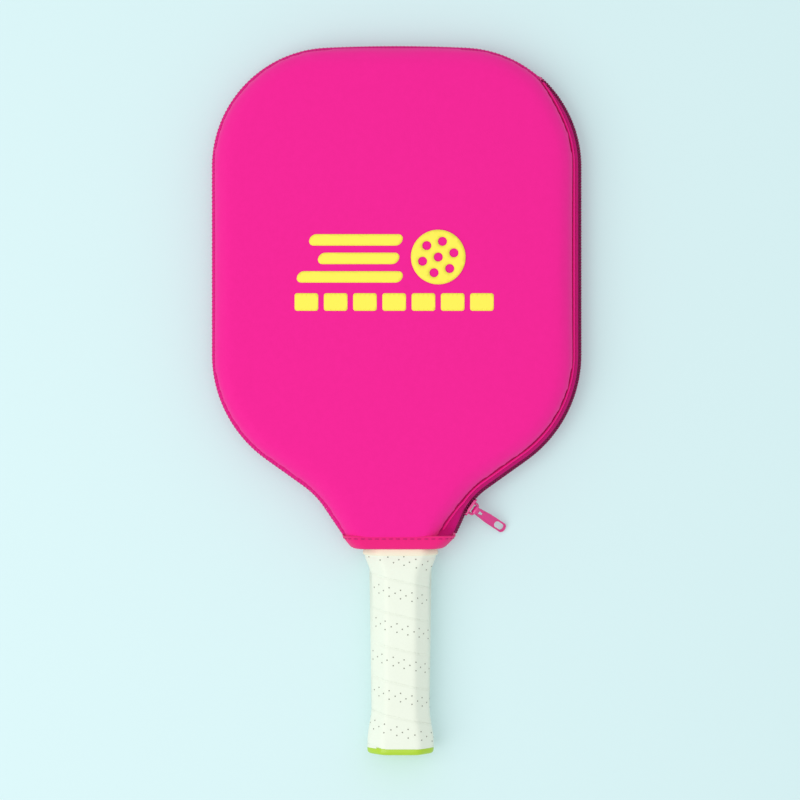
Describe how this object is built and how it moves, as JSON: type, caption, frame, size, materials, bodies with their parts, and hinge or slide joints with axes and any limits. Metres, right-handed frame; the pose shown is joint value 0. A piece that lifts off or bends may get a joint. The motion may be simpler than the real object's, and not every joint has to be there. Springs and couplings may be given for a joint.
{
  "type": "paddle case",
  "caption": "Soft padded zip case shaped to a court paddle, closed round the paddle with its handle standing out of the hemmed neck.",
  "frame": {"origin": "centre of the flat back face that the case rests on", "axes": "+X towards the zipped side, +Y towards the round top end, +Z out of the front panel"},
  "size_m": [0.2116, 0.405, 0.0274],
  "materials": {
    "neoprene": "matte knit-faced foam rubber, vivid pink",
    "seam_tape": "overlocked edge thread, darker pink",
    "hem_tape": "folded knit binding, topstitched",
    "zip_tape": "woven polyester tape, deep pink",
    "zip_coil": "nylon coil, dark purple-pink",
    "zip_hardware": "pink enamel on die-cast metal",
    "print": "soft yellow screen print",
    "core": "polymer honeycomb",
    "face_sheet": "textured composite sheet, off-white",
    "guard": "black moulded strip",
    "pallet": "rigid foam pallet",
    "grip": "perforated cushioned wrap, pale cream-green",
    "collar": "thin stretch band, pale peach",
    "cap": "lime moulded cap"
  },
  "bodies": {
    "root": {"back_panel": "neoprene", "front_panel": "neoprene", "edge_seam": "seam_tape", "hem_back": "hem_tape", "zip_tape_back": "zip_tape", "zip_coil_back": "zip_coil", "zip_top_stop_back": "zip_hardware", "zip_bottom_stop": "zip_hardware", "printed_mark": "print", "paddle_core": "core", "paddle_face_front": "face_sheet", "paddle_face_back": "face_sheet", "edge_guard": "guard", "handle_pallet_front": "pallet", "handle_pallet_back": "pallet", "grip_wrap": "grip", "collar_band": "collar", "butt_cap": "cap"},
    "flap": {"front_flap": "neoprene", "hem_front": "hem_tape", "zip_tape_front": "zip_tape", "zip_coil_front": "zip_coil", "zip_top_stop_front": "zip_hardware", "printed_mark_flap": "print"},
    "slider": {"zip_slider": "zip_hardware", "zip_bail": "zip_hardware"},
    "tab": {"pull_tab": "zip_hardware"}
  },
  "joints": [
    {"name": "flap_open", "type": "hinge", "parent": "root", "child": "flap", "pos_m": [-0.012, -0.138, 0.0275], "axis": [-0.3392, -0.9407, 0], "range_deg": [0, 100]},
    {"name": "slider_travel", "type": "hinge", "parent": "root", "child": "slider", "pos_m": [-0.05149, 0.02269, 0.0135], "axis": [0, 0, 1], "range_deg": [0, 92], "deforming": ["zip_tape_back", "zip_coil_back", "zip_tape_front", "zip_coil_front"]},
    {"name": "tab_swing", "type": "hinge", "parent": "slider", "child": "tab", "pos_m": [0.04563, -0.12219, 0.0135], "axis": [-0.5592, -0.829, 0], "range_deg": [-50, 115]}
  ],
  "couplings": [
    {"joint": "slider_travel", "follows": "flap_open", "ratio": 0.92}
  ]
}
